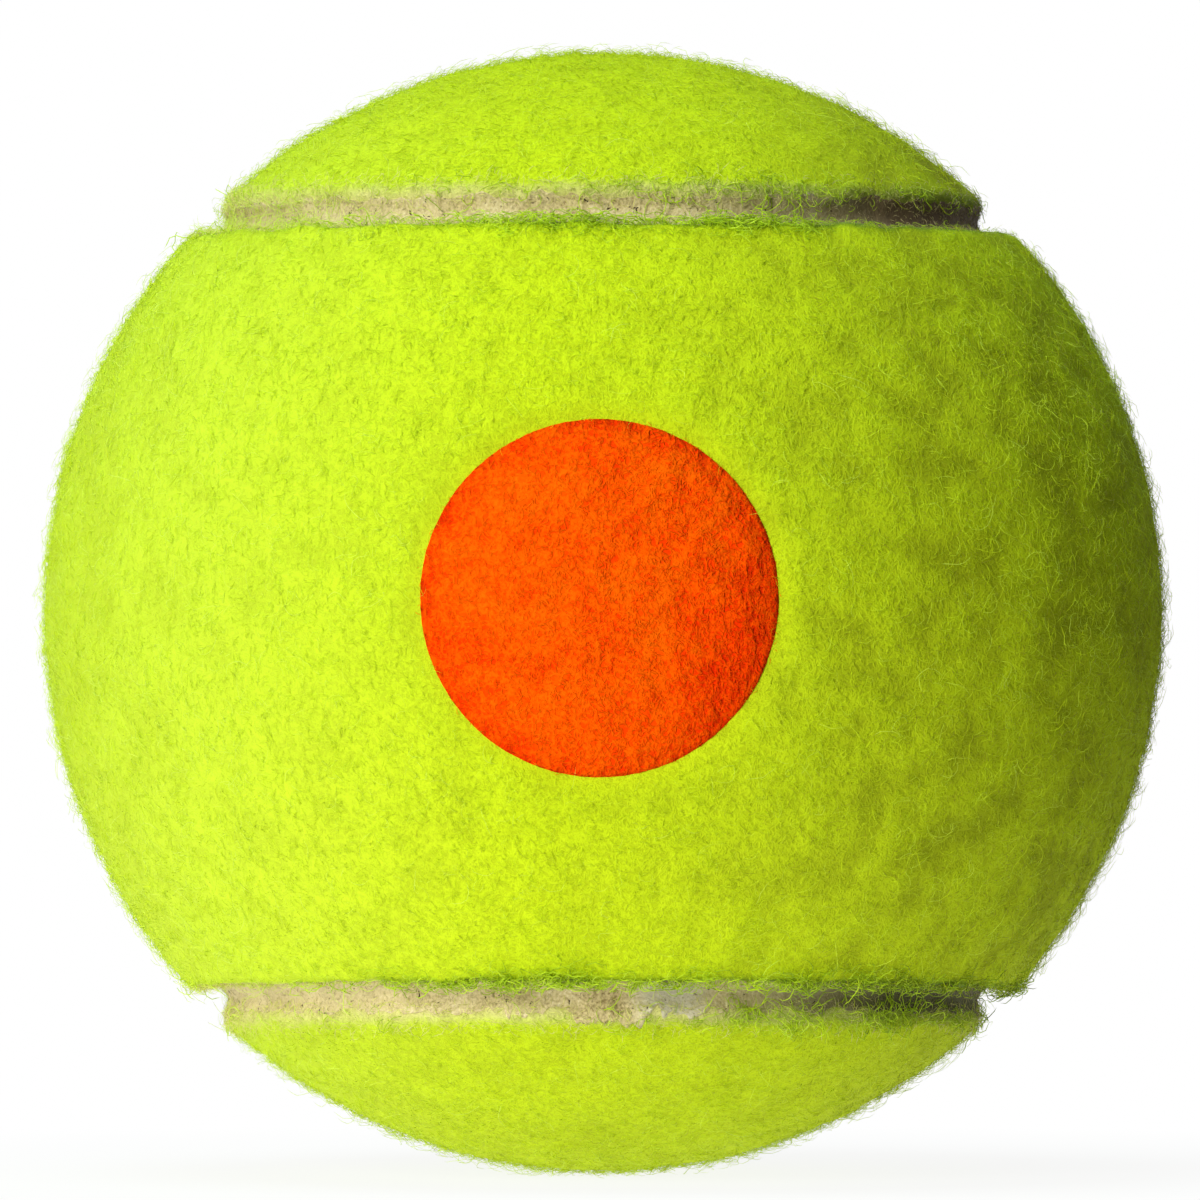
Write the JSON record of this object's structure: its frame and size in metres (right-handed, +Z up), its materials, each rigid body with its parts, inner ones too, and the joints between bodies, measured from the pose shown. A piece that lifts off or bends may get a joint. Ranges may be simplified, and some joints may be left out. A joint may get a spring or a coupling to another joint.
{
  "type": "tennis ball",
  "caption": "Low-pressure junior tennis ball: joined rubber half shells under interlocking felt panels, with a sunk cement seam and a round orange print.",
  "frame": {"origin": "centre of the ball", "axes": "+Z up, with the ball on its lowest point at -Z; the middle of the front panel, with the orange dot, faces -Y"},
  "size_m": [0.066, 0.066, 0.066],
  "materials": {
    "felt": "needled wool and nylon nap",
    "inked_felt": "printed, pressed nap",
    "seam_cement": "matt, grainy",
    "core_rubber": "matt, ground",
    "core_cement": "matt",
    "rubber_solution": "tacky film"
  },
  "bodies": {
    "root": {"core_half_upper": "core_rubber", "core_half_lower": "core_rubber", "core_joint_cement": "core_cement", "core_glue_coat": "rubber_solution", "felt_panel_front": "felt", "felt_panel_rear": "felt", "seam_cement": "seam_cement", "orange_dot_print": "inked_felt"}
  },
  "joints": []
}
